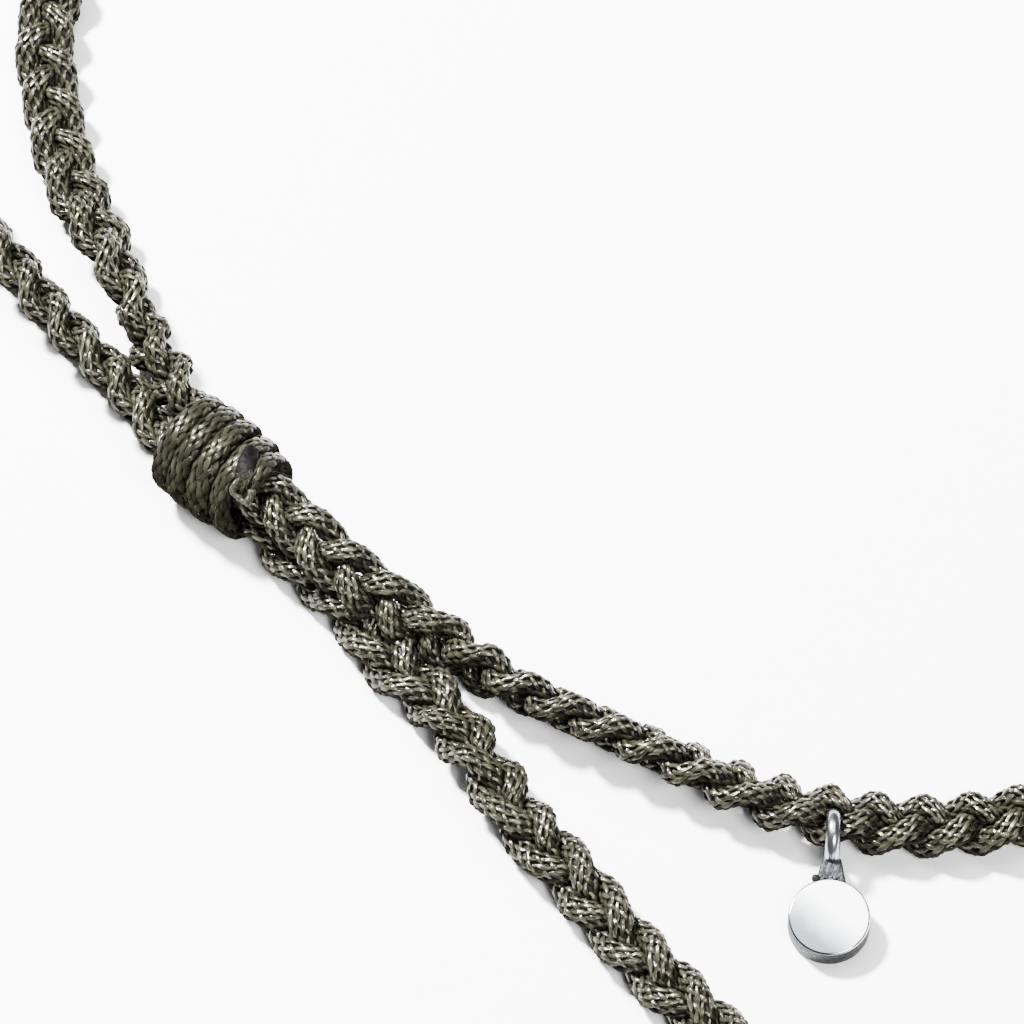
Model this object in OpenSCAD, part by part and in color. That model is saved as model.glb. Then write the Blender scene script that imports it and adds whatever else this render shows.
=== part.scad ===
// Adjustable anklet in braided cord, lying flat on a table.
// One flat braid of three cords makes the whole loop: both of its ends come back through a sliding wrap
// and run on as tails. A small round tag hangs on one cord of the braid by its own ring.
// Millimetres. The origin is on the table, under the middle of the footprint. +Z is up.

/* [Braid] */
// Width of the flat braid, across its three cords
braid_width = 3.1; // [2.9:0.05:3.2]
// Thickness of the flat braid
braid_thickness = 2.0; // [1.8:0.05:2.1]
// How far a cord's middle swings to each side of the braid's middle line
swing = 0.9; // [0.85:0.01:1]
// How far a cord's middle rises and dips where it crosses the others
dip = 0.52; // [0.5:0.01:0.6]
// Half width and half height of a cord where nothing presses on it
cord_half = [0.75, 0.7]; // [0.5:0.01:0.8]
// Gap left between neighbouring cords
cord_gap = 0.12; // [0.1:0.01:0.4]

/* [Wrap] */
// Middle of the wrap's first turn, on the table
wrap_start = [-32.9, -14.5]; // [-40:0.1:-30]
// Direction in which the wrap's axis runs, in degrees from +X
wrap_heading = -43; // [-50:1:-35]
// Height of the wrap's axis
wrap_height = 2.7; // [2.7:0.05:3]
// Turns of cord in the wrap
wrap_turns = 4.6; // [3:0.1:5.4]
// Distance from turn to turn
wrap_pitch = 1.15; // [1.1:0.01:1.4]
// Width and thickness of the cord in the wrap, pressed a little flat
wrap_cord = [1.04, 0.8]; // [0.7:0.02:1.04]
// Half width of the coil's middle line at its start, middle and end
coil_across = [2.15, 2.35, 1.8]; // [1.8:0.05:2.5]
// Half height of the coil's middle line at its start, middle and end
coil_high = [2.2, 2.3, 2.25]; // [1.8:0.05:2.5]

/* [Tag] */
// Diameter of the round tag
tag_d = 4.0; // [3:0.1:5]
// Thickness of the round tag
tag_thickness = 1.3; // [0.8:0.1:1.5]
// Outside diameter of the tag's ring
ring_d = 3.0; // [2.9:0.05:3.1]
// Thickness of the ring's wire
ring_wire = 0.75; // [0.5:0.05:0.8]
// From the ring's middle to the tag's middle
tag_reach = 4.3; // [4.2:0.1:5]
// Thickness of the neck between the ring and the tag
neck_thickness = 0.9; // [0.5:0.1:1.2]
// Width of the neck at the ring and at the tag
neck_width = [1.1, 1.6]; // [1:0.1:2]
// Place of the ring's middle
ring_place = [-0.9, -36.9, 1.5]; // [-40:0.1:40]
// Slope of the tag, which leans on its ring and its far edge
tag_lean = 7.8; // [0:0.1:15]
// Turn of the tag on the table
tag_turn = -3.4; // [-20:0.1:20]

/* [Whippings] */
// Outside diameter of the thread bound round each tail's end
whipping_d = 3.4; // [3:0.1:4]
// Thickness of that binding
whipping_wall = 0.38; // [0.3:0.02:0.4]
// Length of that binding
whipping_length = 3.0; // [2:0.1:3.2]

/* [Hidden] */

// Route of the braid's middle line, from the end of the left tail to the end of the right tail.
// Columns: X, Y, height, roll of the braid's flat face in degrees, length of one full plait, and snug:
// 1 where the braid lies free, less where something holds it tight.
ROLL = 3;
PLAIT = 4;
SNUG = 5;
ROUTE = [
    // Left tail, bound at its end, standing nearly on its edge
    [-46.3, 2.1, 1.7, 60, 7.8, 0.75],
    [-44.9, 0.3, 1.7, 60, 7.8, 0.75],
    [-43.4, -1.3, 1.6, 60, 7.8, 0.95],
    [-42.3, -2.7, 1.6, 60, 7.8, 1],
    [-40.3, -5.5, 1.6, 60, 7.65, 1],
    [-38.2, -8.2, 1.6, 60, 7.65, 1],
    [-36.0, -10.8, 1.75, 60, 7.65, 1],
    [-34.6, -13.1, 2.25, 60, 7.65, 0.92],
    // First pass through the wrap, from its side to its top
    [-33.4, -15.2, 2.65, 55, 7.65, 0.75],
    [-31.7, -16.3, 3.35, 30, 7.75, 0.7],
    [-29.3, -18.1, 3.6, 0, 7.75, 0.76],
    // The arm that carries the tag, first on top of the right tail, then on the table
    [-27.1, -20.1, 3.5, -15, 7.75, 0.95],
    [-25.2, -22.1, 3.2, -20, 7.9, 1],
    [-23.1, -23.7, 2.7, -25, 7.9, 1],
    [-21.1, -25.1, 2.1, -45, 7.9, 1],
    [-19.1, -26.5, 1.7, -75, 7.35, 1],
    [-16.1, -28.6, 1.8, -110, 7.35, 1],
    [-12.2, -30.7, 1.85, -120, 7.35, 1],
    [-8.3, -32.7, 1.8, -130, 7.35, 1],
    [-4.4, -34.6, 1.65, -150, 7.35, 1],
    [-0.5, -35.7, 1.5, -170, 7.35, 1],
    [3.5, -36.0, 1.2, -180, 7.35, 1],
    [8.3, -35.6, 1.45, -190, 7.35, 1],
    // Round the ankle
    [17.5, -33.2, 1.45, -190, 7.7, 1],
    [27.5, -27.4, 1.45, -165, 7.7, 1],
    [37.0, -17.8, 1.7, -140, 7.7, 1],
    [43.5, -5.2, 1.85, -120, 7.7, 1],
    [46.0, 8.8, 1.75, -100, 7.7, 1],
    [43.9, 23.3, 1.7, -85, 7.7, 1],
    [36.5, 36.8, 1.8, -65, 7.7, 1],
    [25.0, 46.4, 1.7, -50, 7.7, 1],
    [11.0, 51.5, 1.65, -35, 7.7, 1],
    [-4.0, 51.0, 1.5, -20, 7.7, 1],
    [-18.0, 45.4, 1.4, -10, 7.7, 1],
    [-29.5, 36.4, 1.3, 0, 7.7, 1],
    // The arm that comes back to the wrap and turns onto its edge
    [-37.1, 24.8, 1.25, 0, 8.1, 1],
    [-40.4, 12.8, 1.2, 0, 8.1, 1],
    [-40.2, 7.2, 1.2, 5, 8.1, 1],
    [-39.0, 2.0, 1.3, 15, 8.3, 1],
    [-36.7, -3.2, 1.75, 55, 8.6, 1],
    [-34.8, -8.2, 1.9, 100, 8.3, 1],
    [-33.2, -11.8, 2.5, 115, 7.9, 0.92],
    // Second pass through the wrap, from its side to its bottom
    [-32.3, -14.0, 2.7, 105, 7.45, 0.73],
    [-30.8, -15.7, 2.1, 145, 7.45, 0.7],
    [-29.2, -18.0, 1.75, 175, 7.45, 0.76],
    // Right tail, bound at its end
    [-27.2, -20.7, 1.3, 180, 7.8, 0.95],
    [-24.7, -23.1, 1.15, 175, 8.6, 1],
    [-22.7, -26.4, 1.1, 175, 8.8, 1],
    [-20.5, -28.8, 1.3, 180, 9.2, 1],
    [-18.1, -32.5, 1.75, 205, 9.2, 1],
    [-16.0, -36.0, 1.6, 180, 9.2, 1],
    [-13.6, -38.9, 1.45, 150, 9.2, 1],
    [-11.0, -42.5, 1.4, 155, 9.2, 1],
    [-7.3, -46.9, 1.42, 150, 9.2, 1],
    [-5.1, -49.1, 1.5, 145, 9.2, 0.8],
    [-3.3, -51.2, 1.7, 145, 9.2, 0.75],
    [-1.9, -52.9, 1.7, 145, 9.2, 0.75]
];
last_row = len(ROUTE) - 1;

// Sections of each cord in one full plait, and sides of each section
plait_sections = 9;
section_step = 360/plait_sections;
cord_sides = 6;
braid_size = [braid_width, braid_thickness];
// Turn of the plait at the start of the route, and at its first section
start_turn = -42;
first_turn = -20;
// Turn of a section's first corner
corner_turn = 5;
// Power that blunts the up and down wave of a cord
dip_power = 0.9;
// How much wider the gaps are where the braid is pressed together, and the least half width of a cord there
pressed_gap = 1.5;
least_half = 0.18;
// Samples between two rows of the route, and the step at which its direction is read
route_samples = 16;
direction_step = 0.02;
tiny = 0.000001;

// The cord that runs through the tag's ring, the play round it, and how far to each side the cords
// make room for the wire
tagged_cord = 1;
ring_play = 0.1;
ring_room = 1.1;

// Sections in one turn of the wrap, the angle at which its cord ends, and how much that end tapers
wrap_sections = 14;
wrap_end = 132;
wrap_taper = 0.75;
// How far the turns are pushed forward along the wrap, as pairs of turns from its start and distance
wrap_push = [
    [0, 0], [0.6, -0.05], [1.6, -0.1], [2.4, -0.1], [2.7, 0.1],
    [3.6, 0.1], [3.8, 0.2], [4.1, 0.25], [4.35, 0], [4.6, 0.08]
];

// How far the neck runs into the tag's edge
neck_sink = 0.3;

// Rows of the route at the middle of each whipping
left_bound = 1;
right_bound = last_row - 1;

round_faces = 96;

// Smooth curve through b and c, a share f of the way from b to c
function smooth(a, b, c, d, f) =
    (2*b + (c - a)*f + (2*a - 5*b + 4*c - d)*f*f + (3*b - a - 3*c + d)*f*f*f)/2;

// Row of the route at place t, where whole numbers are the rows of the table
function row_at(t) =
    let (i = min(floor(t), last_row - 1))
    smooth(ROUTE[max(i - 1, 0)], ROUTE[i], ROUTE[i + 1], ROUTE[min(i + 2, last_row)], t - i);

function spot(row) = [row[0], row[1], row[2]];
function unit(v) = v/norm(v);

// Direction of the route at place t
function ahead_at(t) =
    unit(spot(row_at(min(t + direction_step, last_row))) - spot(row_at(max(t - direction_step, 0))));

// How many degrees the plait turns between two rows that lie close together
function turn_between(p, q) = 720*norm(spot(q) - spot(p))/(p[PLAIT] + q[PLAIT]);

// Turn of the plait at each sample of the route, and the places of the sections
samples = [for (k = [0 : route_samples*last_row]) row_at(k/route_samples)];
sample_turns = [
    for (k = 0, turn = start_turn; k < len(samples);
        turn = turn + (k + 1 < len(samples) ? turn_between(samples[k], samples[k + 1]) : 0), k = k + 1)
    turn
];
turn_table = [for (k = [0 : len(samples) - 1]) [sample_turns[k], k/route_samples]];
section_turns = [for (turn = [first_turn : section_step : sample_turns[len(samples) - 1]]) turn];

// Middle of a cord in the braid's own cross-section, at its own turn of the plait
function cord_middle(turn) =
    [swing*sin(turn), dip*sign(sin(2*turn))*pow(abs(sin(2*turn)), dip_power)];

// Distance from a cord's middle to its skin in one direction: an oval, cut back at the braid's faces
// and edges, and half-way to each neighbour as it lies here and on the way to the next sections
function skin(turn, direction, snug) =
    let (
        middle = cord_middle(turn),
        way = [cos(direction), sin(direction)],
        oval = 1/norm([way[0]/cord_half[0], way[1]/cord_half[1]]),
        gap = cord_gap + pressed_gap*(1 - snug),
        to_neighbours = [
            for (next = [-section_step, 0, section_step], other = [-120, 120])
            let (
                own = (middle + cord_middle(turn + next))/2,
                beside = (cord_middle(turn + other) + cord_middle(turn + next + other))/2,
                apart = beside - own,
                facing = way*unit(apart)
            )
            if (facing > tiny) (norm(apart) - gap)/2/facing
        ],
        to_faces = [
            for (side = [0, 1])
            if (abs(way[side]) > tiny)
            (braid_size[side]/2 - sign(way[side])*middle[side])/abs(way[side])
        ]
    )
    max(least_half, min(concat([oval], to_neighbours, to_faces)));

// Moves a point of a cord off the wire of the tag's ring, into its bore or round its outside
function off_ring(point, threaded) =
    let (
        axis = [cos(tag_turn), sin(tag_turn), 0],
        along = (point - ring_place)*axis,
        aside = point - ring_place - along*axis,
        out = norm(aside),
        bore = ring_d/2 - ring_wire - ring_play,
        kept = threaded ? min(out, bore) : max(out, ring_d/2 + ring_play)
    )
    abs(along) > ring_room || out > ring_d ? point : ring_place + along*axis + aside*(kept/out);

// Corners of one section of a cord
function cord_section(turn, cord) =
    let (
        t = lookup(turn, turn_table),
        row = row_at(t),
        ahead = ahead_at(t),
        inward = unit(cross([0, 0, 1], ahead)),
        upward = cross(ahead, inward),
        across = cos(row[ROLL])*inward - sin(row[ROLL])*upward,
        face = sin(row[ROLL])*inward + cos(row[ROLL])*upward,
        own_turn = turn + 120*cord,
        middle = cord_middle(own_turn)
    )
    [
        for (corner = [0 : cord_sides - 1])
        let (
            direction = corner_turn + 360*corner/cord_sides,
            flat = row[SNUG]*(middle + skin(own_turn, direction, row[SNUG])*[cos(direction), sin(direction)])
        )
        off_ring(spot(row) + flat[0]*across + flat[1]*face, cord == tagged_cord)
    ];

// Value a share f of the way along three values set at the start, middle and end
function of_three(values, f) =
    values[0]*(1 - f)*(1 - 2*f) + values[1]*4*f*(1 - f) + values[2]*f*(2*f - 1);

// Corners of one section of the wrap's cord, a share f of the way along the coil
function wrap_section(f) =
    let (
        along = [cos(wrap_heading), sin(wrap_heading), 0],
        aside = [-sin(wrap_heading), cos(wrap_heading), 0],
        up = [0, 0, 1],
        angle = wrap_end - 360*wrap_turns*(1 - f),
        forward = wrap_pitch*wrap_turns*f + lookup(wrap_turns*f, wrap_push),
        middle = [wrap_start[0], wrap_start[1], wrap_height] + forward*along
            + of_three(coil_across, f)*cos(angle)*aside + of_three(coil_high, f)*sin(angle)*up,
        outward = cos(angle)*aside + sin(angle)*up,
        half = (f < 1 ? 0.5 : wrap_taper/2)*wrap_cord
    )
    [
        for (direction = [30 : 60 : 330])
        middle + half[0]*cos(direction)/cos(30)*along + half[1]*sin(direction)*outward
    ];

// Closed tube through a list of sections
module tube(sections) {
    sides = len(sections[0]);
    last = len(sections) - 1;
    walls = [
        for (i = [0 : last - 1], j = [0 : sides - 1])
        let (k = (j + 1)%sides)
        each [
            [i*sides + j, (i + 1)*sides + k, i*sides + k],
            [i*sides + j, (i + 1)*sides + j, (i + 1)*sides + k]
        ]
    ];
    start_cap = [for (j = [1 : sides - 2]) [0, j, j + 1]];
    end_cap = [for (j = [1 : sides - 2]) [last*sides, last*sides + j + 1, last*sides + j]];
    polyhedron([for (section = sections) each section], concat(walls, start_cap, end_cap), 10);
}

module cord(number) {
    tube([for (turn = section_turns) cord_section(turn, number)]);
}

module strand_a() {
    color("#6e6a5c") cord(0);
}

module strand_b() {
    color("#6e6a5c") cord(1);
}

module strand_c() {
    color("#6e6a5c") cord(2);
}

module slide_wrap() {
    count = round(wrap_turns*wrap_sections);
    color("#63604f") tube([for (i = [0 : count]) wrap_section(i/count)]);
}

// The tag, its neck and its ring are soldered into one piece of silver
module tag() {
    ring_middle = (ring_d - ring_wire)/2;
    neck_foot = tag_reach - tag_d/2 + neck_sink;
    color("silver")
    translate(ring_place)
    rotate([tag_lean, 0, tag_turn]) {
        rotate([0, 90, 0])
        rotate_extrude($fn = round_faces)
        translate([ring_middle, 0])
        circle(d = ring_wire, $fn = round_faces/2);
        translate([0, -tag_reach, -tag_thickness/2])
        cylinder(d = tag_d, h = tag_thickness, $fn = round_faces);
        translate([0, 0, -neck_thickness/2])
        linear_extrude(neck_thickness)
        polygon([
            [-neck_width[0]/2, -ring_middle], [neck_width[0]/2, -ring_middle],
            [neck_width[1]/2, -neck_foot], [-neck_width[1]/2, -neck_foot]
        ]);
    }
}

// Thread bound round a tail's end, with the braid's end just showing beyond it
module whipping(bound) {
    before = ROUTE[bound - 1];
    after = ROUTE[bound + 1];
    color("#57533f")
    translate(spot(ROUTE[bound]))
    rotate([0, 90, atan2(after[1] - before[1], after[0] - before[0])])
    difference() {
        cylinder(d = whipping_d, h = whipping_length, center = true, $fn = round_faces);
        cylinder(d = whipping_d - 2*whipping_wall, h = 2*whipping_length, center = true, $fn = round_faces);
    }
}

module whipping_left() {
    whipping(left_bound);
}

module whipping_right() {
    whipping(right_bound);
}

strand_a();
strand_b();
strand_c();
slide_wrap();
tag();
whipping_left();
whipping_right();
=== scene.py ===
# A braided cord anklet as it lies on a table: flat plait of three round-braided nylon cords, sliding
# wrap of the same cord, whipped tail ends and a small silver tag on a ring. Metres throughout.
import math

import bpy
import numpy as np
from mathutils import Matrix, Vector


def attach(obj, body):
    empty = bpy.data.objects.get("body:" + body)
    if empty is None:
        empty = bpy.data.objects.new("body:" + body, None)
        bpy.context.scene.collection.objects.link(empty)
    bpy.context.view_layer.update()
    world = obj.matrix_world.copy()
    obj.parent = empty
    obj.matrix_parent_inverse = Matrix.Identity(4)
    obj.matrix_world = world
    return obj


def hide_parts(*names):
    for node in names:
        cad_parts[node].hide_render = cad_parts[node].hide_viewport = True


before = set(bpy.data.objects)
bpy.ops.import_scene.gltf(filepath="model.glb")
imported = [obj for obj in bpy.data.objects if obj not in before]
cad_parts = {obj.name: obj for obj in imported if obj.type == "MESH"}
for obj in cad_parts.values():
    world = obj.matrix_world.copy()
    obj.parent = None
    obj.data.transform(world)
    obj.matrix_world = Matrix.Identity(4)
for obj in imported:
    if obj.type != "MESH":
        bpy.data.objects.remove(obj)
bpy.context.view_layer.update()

mm = 0.001
slanted = (0.31, 0.52, 0.79)        # a direction that nothing here runs along, to turn cross-sections by


# Small helpers

def hexColor(code):
    channels = [int(code[i:i + 2], 16) / 255 for i in (1, 3, 5)]
    linear = [c / 12.92 if c <= 0.04045 else ((c + 0.055) / 1.055) ** 2.4 for c in channels]
    return (*linear, 1.0)


def addNode(tree, kind, settings=None, links=None):
    node = tree.nodes.new(kind)
    for name, value in (settings or {}).items():
        if isinstance(name, str) and hasattr(node, name):
            setattr(node, name, value)
        else:
            node.inputs[name].default_value = value
    for name, source in (links or {}).items():
        tree.links.new(source, node.inputs[name])
    return node


def addMath(tree, operation, *values):      # one step of arithmetic on numbers and other nodes' outputs
    node = addNode(tree, "ShaderNodeMath", {"operation": operation})
    for socket, value in zip(node.inputs, values):
        if isinstance(value, (int, float)):
            socket.default_value = value
        else:
            tree.links.new(value, socket)
    return node.outputs[0]


def addDot(tree, vector, direction):
    node = addNode(tree, "ShaderNodeVectorMath", {"operation": "DOT_PRODUCT", 1: direction}, {0: vector})
    return node.outputs["Value"]


def addRange(tree, source, before, after):      # stretches one range of values to another
    ends = {"From Min": before[0], "From Max": before[1], "To Min": after[0], "To Max": after[1]}
    return addNode(tree, "ShaderNodeMapRange", ends, {"Value": source}).outputs["Result"]


def addNoise(tree, where, scale, detail):
    noise = addNode(tree, "ShaderNodeTexNoise", {"Scale": scale, "Detail": detail}, {"Vector": where})
    return noise.outputs["Fac"]


def addRamp(tree, source, colors, ends=(0.0, 1.0), blend="LINEAR"):     # from the first colour to the second
    node = addNode(tree, "ShaderNodeValToRGB", links={"Fac": source})
    node.color_ramp.interpolation = blend
    for element, code, end in zip(node.color_ramp.elements, colors, ends):
        element.color = hexColor(code)
        element.position = end
    return node.outputs["Color"]


def addBump(tree, height, depth, strength=1.0):
    bump = addNode(tree, "ShaderNodeBump", {"Strength": strength, "Distance": depth}, {"Height": height})
    return bump.outputs["Normal"]


def newMaterial(name):
    made = bpy.data.materials.new(name)
    made.use_nodes = True
    made.node_tree.nodes.clear()
    return made, made.node_tree


def finishMaterial(tree, shader, bump=None):
    if bump is not None:
        tree.links.new(bump, shader.inputs["Normal"])
    addNode(tree, "ShaderNodeOutputMaterial", links={"Surface": shader.outputs["BSDF"]})


def deselectAll():
    for each in bpy.context.selected_objects:
        each.select_set(False)


def unitRows(rows):
    return rows / np.linalg.norm(rows, axis=1)[:, None]


def roundAngles(count):
    return 2 * math.pi * np.arange(count) / count


def newPiece(name, corners, faces, material):
    mesh = bpy.data.meshes.new(name)
    mesh.from_pydata(corners.tolist(), [], faces)
    mesh.materials.append(material)
    made = bpy.data.objects.new(name, mesh)
    bpy.context.scene.collection.objects.link(made)
    return made


def tubeFaces(n, sides, first=0):       # a closed tube through n rings of corners, its two ends last
    i, j = np.meshgrid(np.arange(n - 1), np.arange(sides), indexing="ij")
    k = (j + 1) % sides
    quads = first + np.stack([i * sides + j, i * sides + k, (i + 1) * sides + k, (i + 1) * sides + j], -1)
    last = first + (n - 1) * sides
    ends = [list(range(first, first + sides))[::-1], list(range(last, last + sides))]
    return quads.reshape(-1, 4).tolist() + ends


def tubeUvs(across, alongs):        # texture corners of such a tube's sides, without its ends
    i, j = np.meshgrid(np.arange(len(alongs) - 1), np.arange(len(across) - 1), indexing="ij")
    turns = ((j, i), (j + 1, i), (j + 1, i + 1), (j, i + 1))
    return np.stack([np.stack([across[a], alongs[b]], -1) for a, b in turns], 2).reshape(-1, 2)


def setUvs(piece, uvs):
    layer = piece.data.uv_layers.new(name="yarn")
    layer.data.foreach_set("uv", uvs.astype(np.float32).ravel())


def ringTube(rings):        # corners and faces of a closed tube through rings of points
    return rings.reshape(-1, 3), tubeFaces(*rings.shape[:2])


def tubeRound(path, radius, sides):     # a closed round tube along a path
    ahead = unitRows(np.gradient(path, axis=0))
    side = unitRows(np.cross(ahead, slanted))
    other = np.cross(ahead, side)
    turned = roundAngles(sides)[None, :, None]
    outward = np.cos(turned) * side[:, None] + np.sin(turned) * other[:, None]
    return ringTube(path[:, None] + np.reshape(radius, (-1, 1, 1)) * outward)


def joinTubes(name, tubes, material):
    corners, faces = [], []
    count = 0
    for points, sheets in tubes:
        corners.append(points)
        faces += [[corner + count for corner in face] for face in sheets]
        count += len(points)
    made = newPiece(name, np.concatenate(corners), faces, material)
    made.data.shade_smooth()
    return made


def place(piece, node):
    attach(piece, "root")
    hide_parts(node)


# Camera: the photo's view, from 58 degrees above the table and far enough away to look almost flat

view = {"aim": (-0.0165, -0.0172, 0.0), "elevation": 58, "distance": 0.427, "frameWidth": 0.0512}


def addCamera():
    data = bpy.data.cameras.new("photoCamera")
    data.sensor_width = 36
    data.lens = data.sensor_width * view["distance"] / view["frameWidth"]
    data.clip_start = 0.01
    camera = bpy.data.objects.new("photoCamera", data)
    bpy.context.scene.collection.objects.link(camera)
    rise = math.radians(view["elevation"])
    back = Vector((0, -math.cos(rise), math.sin(rise)))
    camera.location = Vector(view["aim"]) + back * view["distance"]
    camera.rotation_euler = (-back).to_track_quat("-Z", "Y").to_euler()
    bpy.context.scene.camera = camera


addCamera()
print("camera set")


# Route of the braid's middle line, from the end of the left tail to the end of the right tail: X, Y,
# height, roll of the flat face in degrees, length of one full plait, and snug, less where it is held tight

routeRows = np.array([
    # Left tail, bound at its end, standing nearly on its edge
    (-0.0463, 0.0021, 0.0017, 60, 0.0078, 0.75),
    (-0.0449, 0.0003, 0.0017, 60, 0.0078, 0.75),
    (-0.0434, -0.0013, 0.0016, 60, 0.0078, 0.95),
    (-0.0423, -0.0027, 0.0016, 60, 0.0078, 1),
    (-0.0403, -0.0055, 0.0016, 60, 0.00765, 1),
    (-0.0382, -0.0082, 0.0016, 60, 0.00765, 1),
    (-0.036, -0.0108, 0.00175, 60, 0.00765, 1),
    (-0.0346, -0.0131, 0.00225, 60, 0.00765, 0.92),
    # First pass through the wrap, from its side to its top
    (-0.0334, -0.0152, 0.00265, 55, 0.00765, 0.75),
    (-0.0317, -0.0163, 0.00335, 30, 0.00775, 0.7),
    (-0.0293, -0.0181, 0.0036, 0, 0.00775, 0.76),
    # The arm that carries the tag, first on top of the right tail, then on the table
    (-0.0271, -0.0201, 0.0035, -15, 0.00775, 0.95),
    (-0.0252, -0.0221, 0.0032, -20, 0.0079, 1),
    (-0.0231, -0.0237, 0.0027, -25, 0.0079, 1),
    (-0.0211, -0.0251, 0.0021, -45, 0.0079, 1),
    (-0.0191, -0.0265, 0.0017, -75, 0.00735, 1),
    (-0.0161, -0.0286, 0.0018, -110, 0.00735, 1),
    (-0.0122, -0.0307, 0.00185, -120, 0.00735, 1),
    (-0.0083, -0.0327, 0.0018, -130, 0.00735, 1),
    (-0.0044, -0.0346, 0.00165, -150, 0.00735, 1),
    (-0.0005, -0.0357, 0.0015, -170, 0.00735, 1),
    (0.0035, -0.036, 0.0012, -180, 0.00735, 1),
    (0.0083, -0.0356, 0.00145, -190, 0.00735, 1),
    # Round the ankle
    (0.0175, -0.0332, 0.00145, -190, 0.0077, 1),
    (0.0275, -0.0274, 0.00145, -165, 0.0077, 1),
    (0.037, -0.0178, 0.0017, -140, 0.0077, 1),
    (0.0435, -0.0052, 0.00185, -120, 0.0077, 1),
    (0.046, 0.0088, 0.00175, -100, 0.0077, 1),
    (0.0439, 0.0233, 0.0017, -85, 0.0077, 1),
    (0.0365, 0.0368, 0.0018, -65, 0.0077, 1),
    (0.025, 0.0464, 0.0017, -50, 0.0077, 1),
    (0.011, 0.0515, 0.00165, -35, 0.0077, 1),
    (-0.004, 0.051, 0.0015, -20, 0.0077, 1),
    (-0.018, 0.0454, 0.0014, -10, 0.0077, 1),
    (-0.0295, 0.0364, 0.0013, 0, 0.0077, 1),
    # The arm that comes back to the wrap and turns onto its edge
    (-0.0371, 0.0248, 0.00125, 0, 0.0081, 1),
    (-0.0404, 0.0128, 0.0012, 0, 0.0081, 1),
    (-0.0402, 0.0072, 0.0012, 5, 0.0081, 1),
    (-0.039, 0.002, 0.0013, 15, 0.0083, 1),
    (-0.0367, -0.0032, 0.00175, 55, 0.0086, 1),
    (-0.0348, -0.0082, 0.0019, 100, 0.0083, 1),
    (-0.0332, -0.0118, 0.0025, 115, 0.0079, 0.92),
    # Second pass through the wrap, from its side to its bottom
    (-0.0323, -0.014, 0.0027, 105, 0.00745, 0.73),
    (-0.0308, -0.0157, 0.0021, 145, 0.00745, 0.7),
    (-0.0292, -0.018, 0.00175, 175, 0.00745, 0.76),
    # Right tail, bound at its end
    (-0.0272, -0.0207, 0.0013, 180, 0.0078, 0.95),
    (-0.0247, -0.0231, 0.00115, 175, 0.0086, 1),
    (-0.0227, -0.0264, 0.0011, 175, 0.0088, 1),
    (-0.0205, -0.0288, 0.0013, 180, 0.0092, 1),
    (-0.0181, -0.0325, 0.00175, 205, 0.0092, 1),
    (-0.016, -0.036, 0.0016, 180, 0.0092, 1),
    (-0.0136, -0.0389, 0.00145, 150, 0.0092, 1),
    (-0.011, -0.0425, 0.0014, 155, 0.0092, 1),
    (-0.0073, -0.0469, 0.00142, 150, 0.0092, 1),
    (-0.0051, -0.0491, 0.0015, 145, 0.0092, 0.8),
    (-0.0033, -0.0512, 0.0017, 145, 0.0092, 0.75),
    (-0.0019, -0.0529, 0.0017, 145, 0.0092, 0.75),
])
lastRow = len(routeRows) - 1
bySpot = slice(0, 3)
rollColumn = 3
plaitColumn = 4
snugColumn = 5
thirdTurn = 120     # degrees of the plait between one cord and the next

plait = {
    "width": 3.14 * mm, "thickness": 2.04 * mm,
    "swing": 0.9 * mm, "dip": 0.52 * mm, "dipPower": 0.9,
    "startTurn": -42, "firstTurn": -20, "sections": 9,
    "samples": 16, "directionStep": 0.02, "turnStep": 2.0,
    "half": (0.77 * mm, 0.68 * mm), "swell": (0.06 * mm, -0.02 * mm),    # a cord's own half sizes when free
    "pressedGap": 0.2 * mm, "softness": 16, "leastFacing": 0.05,        # how cords press each other flat
    "snugShare": 0.5,       # how much of the route's squeeze the yarns follow, as they flatten and fill it
}


def smoothRows(places):     # smooth curve through the rows, where whole numbers are rows
    i = np.minimum(np.floor(places).astype(int), lastRow - 1)
    f = (places - i)[:, None]
    a = routeRows[np.maximum(i - 1, 0)]
    b = routeRows[i]
    c = routeRows[i + 1]
    d = routeRows[np.minimum(i + 2, lastRow)]
    return (2 * b + (c - a) * f + (2 * a - 5 * b + 4 * c - d) * f ** 2 + (3 * b - a - 3 * c + d) * f ** 3) / 2


def plaitTable():       # how far the plait has turned at each sample of the route
    places = np.arange(plait["samples"] * lastRow + 1) / plait["samples"]
    rows = smoothRows(places)
    steps = np.linalg.norm(np.diff(rows[:, bySpot], axis=0), axis=1)
    fullPlait = (rows[1:, plaitColumn] + rows[:-1, plaitColumn]) / 2
    return places, plait["startTurn"] + np.concatenate([[0], np.cumsum(360 * steps / fullPlait)])


placeTable, turnTable = plaitTable()
sectionTurn = 360 / plait["sections"]
lastTurn = plait["firstTurn"] + sectionTurn * math.floor((turnTable[-1] - plait["firstTurn"]) / sectionTurn)


def braidFrame(turns):      # rows of the route and the two directions of the braid's cross-section
    places = np.interp(turns, turnTable, placeTable)
    rows = smoothRows(places)
    before = smoothRows(np.maximum(places - plait["directionStep"], 0))
    after = smoothRows(np.minimum(places + plait["directionStep"], lastRow))
    ahead = unitRows(after[:, bySpot] - before[:, bySpot])
    inward = unitRows(np.cross([0.0, 0.0, 1.0], ahead))
    upward = np.cross(ahead, inward)
    roll = np.radians(rows[:, rollColumn])[:, None]
    across = np.cos(roll) * inward - np.sin(roll) * upward
    face = np.sin(roll) * inward + np.cos(roll) * upward
    return rows, across, face


def cordMiddle(turns):      # middle of a cord in the braid's cross-section
    turned = np.radians(turns)
    wave = np.sin(2 * turned)
    lift = np.sign(wave) * np.abs(wave) ** plait["dipPower"]
    return np.stack([plait["swing"] * np.sin(turned), plait["dip"] * lift], -1)


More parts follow.
